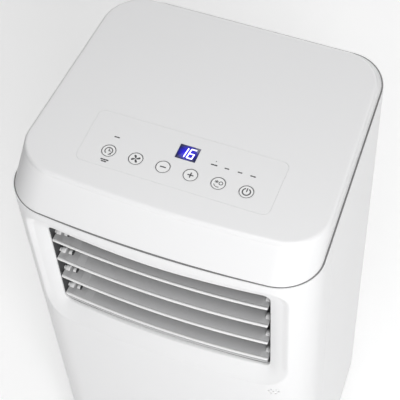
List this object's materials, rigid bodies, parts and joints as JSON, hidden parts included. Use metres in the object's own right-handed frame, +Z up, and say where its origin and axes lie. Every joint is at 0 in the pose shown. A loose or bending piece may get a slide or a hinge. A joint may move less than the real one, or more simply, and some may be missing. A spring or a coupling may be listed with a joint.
{
  "type": "portable air conditioner",
  "caption": "Free-standing portable air conditioner on casters, with a sloped-edge top cover, touch buttons, lit temperature display and a louvred front outlet.",
  "frame": {"origin": "on the floor under the middle of the cabinet, at the bottom centre of the bounding box", "axes": "+Z up, the front with the air outlet faces -Y, +X is to the right seen from the front"},
  "size_m": [0.3398, 0.322, 0.7],
  "materials": {
    "shell_white": "satin moulded ABS",
    "panel_white": "gloss overlay",
    "display_glass": "dark tinted window",
    "display_led": "lit figures",
    "circuit_board": "glass-fibre board",
    "switch_plastic": "moulded",
    "vane_plastic": "satin moulded",
    "duct_foam": "moulded",
    "wheel_plastic": "moulded",
    "motor_steel": "zinc plated",
    "fin_aluminium": "mill finish",
    "tube_copper": "drawn copper",
    "compressor_black": "black paint",
    "rubber_grey": "moulded rubber",
    "filter_net": "woven net",
    "caster_fork_plastic": "moulded nylon",
    "caster_wheel_plastic": "moulded"
  },
  "bodies": {
    "cabinet": {"base_pan": "shell_white", "front_shell": "shell_white", "rear_shell": "shell_white", "top_cover": "shell_white", "control_panel": "panel_white", "display_window": "display_glass", "display_digits": "display_led", "key_board": "circuit_board", "key_switches": "switch_plastic", "outlet_frame": "vane_plastic", "air_duct": "duct_foam", "evaporator_scroll": "duct_foam", "evaporator_motor": "motor_steel", "evaporator_coil": "fin_aluminium", "evaporator_tubes": "tube_copper", "drip_tray": "duct_foam", "partition": "motor_steel", "condenser_scroll": "duct_foam", "condenser_motor": "motor_steel", "condenser_coil": "fin_aluminium", "condenser_tubes": "tube_copper", "exhaust_duct": "duct_foam", "exhaust_collar": "shell_white", "compressor": "compressor_black", "compressor_mounts": "rubber_grey", "suction_pipe": "tube_copper", "discharge_pipe": "tube_copper", "capillary_tube": "tube_copper", "electrics_box": "motor_steel", "main_board": "circuit_board", "lower_grille": "shell_white", "cord_gland": "rubber_grey", "receiver_board": "circuit_board", "splash_motor": "motor_steel", "shell_screws": "motor_steel"},
    "button_timer": {"button_timer": "panel_white"},
    "button_fan": {"button_fan": "panel_white"},
    "button_minus": {"button_minus": "panel_white"},
    "button_plus": {"button_plus": "panel_white"},
    "button_mode": {"button_mode": "panel_white"},
    "button_power": {"button_power": "panel_white"},
    "vane_1": {"vane_1": "vane_plastic"},
    "vane_2": {"vane_2": "vane_plastic"},
    "vane_3": {"vane_3": "vane_plastic"},
    "vane_4": {"vane_4": "vane_plastic"},
    "vane_link": {"vane_link": "vane_plastic"},
    "evaporator_wheel": {"evaporator_wheel": "wheel_plastic"},
    "condenser_wheel": {"condenser_wheel": "wheel_plastic"},
    "splash_wheel": {"splash_wheel": "wheel_plastic"},
    "filter": {"filter_frame": "shell_white", "filter_mesh": "filter_net"},
    "drain_plug": {"drain_plug": "rubber_grey"},
    "fork_fl": {"caster_fork_fl": "caster_fork_plastic"},
    "wheel_fl": {"caster_wheel_fl": "caster_wheel_plastic"},
    "fork_fr": {"caster_fork_fr": "caster_fork_plastic"},
    "wheel_fr": {"caster_wheel_fr": "caster_wheel_plastic"},
    "fork_rl": {"caster_fork_rl": "caster_fork_plastic"},
    "wheel_rl": {"caster_wheel_rl": "caster_wheel_plastic"},
    "fork_rr": {"caster_fork_rr": "caster_fork_plastic"},
    "wheel_rr": {"caster_wheel_rr": "caster_wheel_plastic"}
  },
  "joints": [
    {"name": "press_timer", "type": "slide", "parent": "cabinet", "child": "button_timer", "axis": [0, 0, -1], "range_m": [0, 0.001], "stiffness_N_per_m": 400, "springref_m": -0.0005},
    {"name": "press_fan", "type": "slide", "parent": "cabinet", "child": "button_fan", "axis": [0, 0, -1], "range_m": [0, 0.001], "stiffness_N_per_m": 400, "springref_m": -0.0005},
    {"name": "press_minus", "type": "slide", "parent": "cabinet", "child": "button_minus", "axis": [0, 0, -1], "range_m": [0, 0.001], "stiffness_N_per_m": 400, "springref_m": -0.0005},
    {"name": "press_plus", "type": "slide", "parent": "cabinet", "child": "button_plus", "axis": [0, 0, -1], "range_m": [0, 0.001], "stiffness_N_per_m": 400, "springref_m": -0.0005},
    {"name": "press_mode", "type": "slide", "parent": "cabinet", "child": "button_mode", "axis": [0, 0, -1], "range_m": [0, 0.001], "stiffness_N_per_m": 400, "springref_m": -0.0005},
    {"name": "press_power", "type": "slide", "parent": "cabinet", "child": "button_power", "axis": [0, 0, -1], "range_m": [0, 0.001], "stiffness_N_per_m": 400, "springref_m": -0.0005},
    {"name": "tilt_vane_1", "type": "hinge", "parent": "cabinet", "child": "vane_1", "pos_m": [0, -0.132, 0.60375], "axis": [1, 0, 0], "range_deg": [-25, 25]},
    {"name": "tilt_vane_2", "type": "hinge", "parent": "cabinet", "child": "vane_2", "pos_m": [0, -0.132, 0.56705], "axis": [1, 0, 0], "range_deg": [-25, 25]},
    {"name": "tilt_vane_3", "type": "hinge", "parent": "cabinet", "child": "vane_3", "pos_m": [0, -0.132, 0.53035], "axis": [1, 0, 0], "range_deg": [-25, 25]},
    {"name": "tilt_vane_4", "type": "hinge", "parent": "cabinet", "child": "vane_4", "pos_m": [0, -0.132, 0.49365], "axis": [1, 0, 0], "range_deg": [-25, 25]},
    {"name": "link_pivot", "type": "hinge", "parent": "vane_1", "child": "vane_link", "pos_m": [-0.095, -0.12, 0.60375], "axis": [1, 0, 0], "range_deg": [-25, 25]},
    {"name": "evaporator_fan_spin", "type": "hinge", "parent": "cabinet", "child": "evaporator_wheel", "pos_m": [0, 0.07, 0.45], "axis": [0, 1, 0], "continuous": true},
    {"name": "condenser_fan_spin", "type": "hinge", "parent": "cabinet", "child": "condenser_wheel", "pos_m": [0.04, 0.07, 0.176], "axis": [0, 1, 0], "continuous": true},
    {"name": "splash_spin", "type": "hinge", "parent": "cabinet", "child": "splash_wheel", "pos_m": [-0.075, 0.088, 0.065], "axis": [0, 0, 1], "continuous": true},
    {"name": "filter_pull", "type": "slide", "parent": "cabinet", "child": "filter", "axis": [0, 1, 0], "range_m": [0, 0.05]},
    {"name": "drain_plug_pull", "type": "slide", "parent": "cabinet", "child": "drain_plug", "axis": [0, 1, 0], "range_m": [0, 0.022]},
    {"name": "swivel_fl", "type": "hinge", "parent": "cabinet", "child": "fork_fl", "pos_m": [-0.115, -0.112, 0.046], "axis": [0, 0, 1], "continuous": true},
    {"name": "roll_fl", "type": "hinge", "parent": "fork_fl", "child": "wheel_fl", "pos_m": [-0.115, -0.098, 0.019], "axis": [1, 0, 0], "continuous": true},
    {"name": "swivel_fr", "type": "hinge", "parent": "cabinet", "child": "fork_fr", "pos_m": [0.115, -0.112, 0.046], "axis": [0, 0, 1], "continuous": true},
    {"name": "roll_fr", "type": "hinge", "parent": "fork_fr", "child": "wheel_fr", "pos_m": [0.115, -0.098, 0.019], "axis": [1, 0, 0], "continuous": true},
    {"name": "swivel_rl", "type": "hinge", "parent": "cabinet", "child": "fork_rl", "pos_m": [-0.115, 0.112, 0.046], "axis": [0, 0, 1], "continuous": true},
    {"name": "roll_rl", "type": "hinge", "parent": "fork_rl", "child": "wheel_rl", "pos_m": [-0.115, 0.126, 0.019], "axis": [1, 0, 0], "continuous": true},
    {"name": "swivel_rr", "type": "hinge", "parent": "cabinet", "child": "fork_rr", "pos_m": [0.115, 0.112, 0.046], "axis": [0, 0, 1], "continuous": true},
    {"name": "roll_rr", "type": "hinge", "parent": "fork_rr", "child": "wheel_rr", "pos_m": [0.115, 0.126, 0.019], "axis": [1, 0, 0], "continuous": true}
  ],
  "couplings": [
    {"joint": "tilt_vane_2", "follows": "tilt_vane_1", "ratio": 1},
    {"joint": "tilt_vane_3", "follows": "tilt_vane_1", "ratio": 1},
    {"joint": "tilt_vane_4", "follows": "tilt_vane_1", "ratio": 1},
    {"joint": "link_pivot", "follows": "tilt_vane_1", "ratio": -1}
  ]
}
